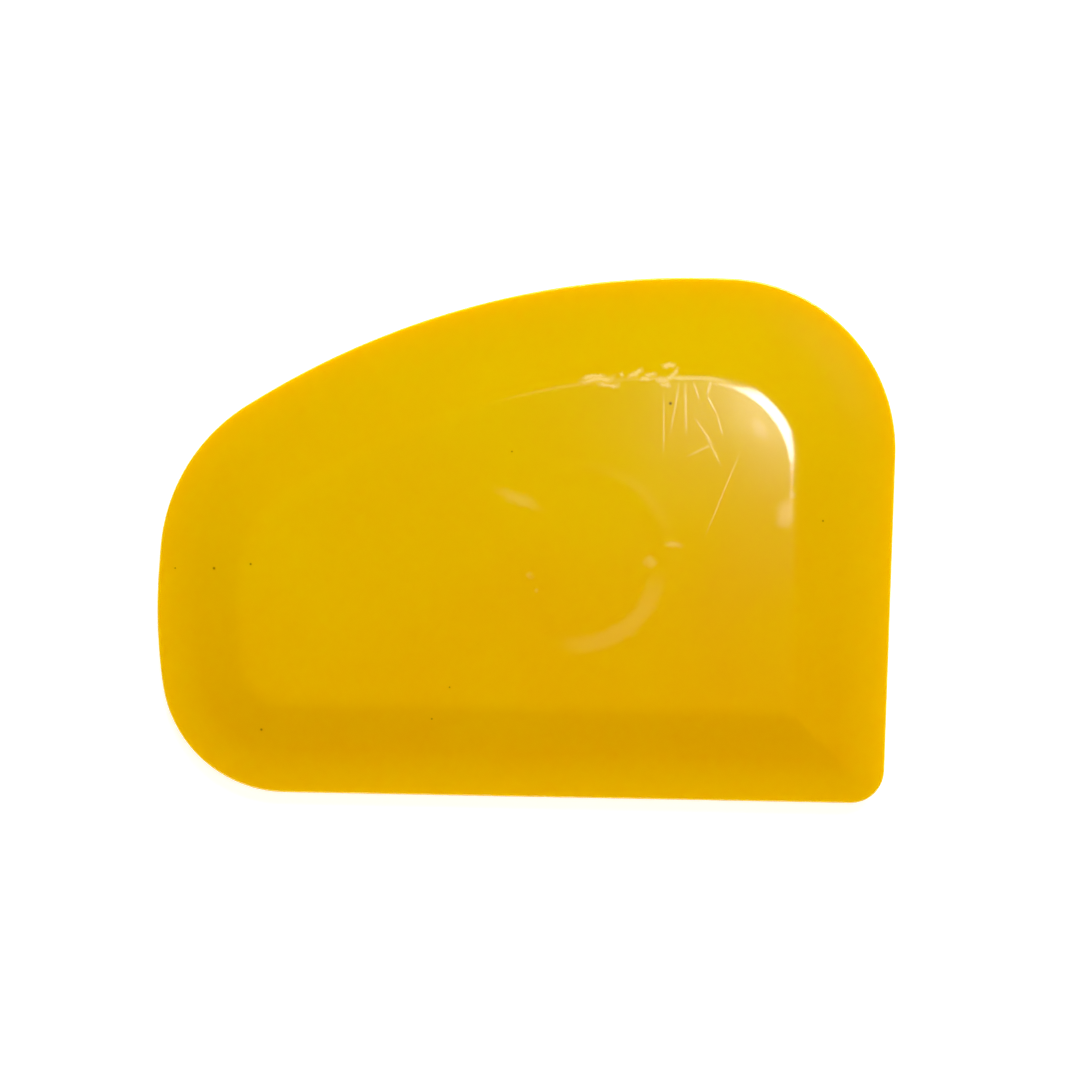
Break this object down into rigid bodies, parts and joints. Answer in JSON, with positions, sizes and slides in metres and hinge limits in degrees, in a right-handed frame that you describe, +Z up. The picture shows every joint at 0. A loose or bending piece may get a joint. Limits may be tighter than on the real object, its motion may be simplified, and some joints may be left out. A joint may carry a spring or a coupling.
{
  "type": "squeegee applicator card",
  "caption": "Contour squeegee card: a flat grip plate thinning on both faces to a blade edge, straight in front, nearly square at one corner and rounded elsewhere.",
  "frame": {"origin": "under the middle of the card, on the surface that it lies on", "axes": "+X along the straight front edge, towards the nearly square corner; +Y from the front edge to the curved back edge; +Z up, out of the face with the raised ring"},
  "size_m": [0.12, 0.0852, 0.005],
  "materials": {
    "card": "semi-gloss translucent yellow moulded plastic, lightly scuffed"
  },
  "bodies": {
    "root": {"squeegee_card": "card"}
  },
  "joints": []
}
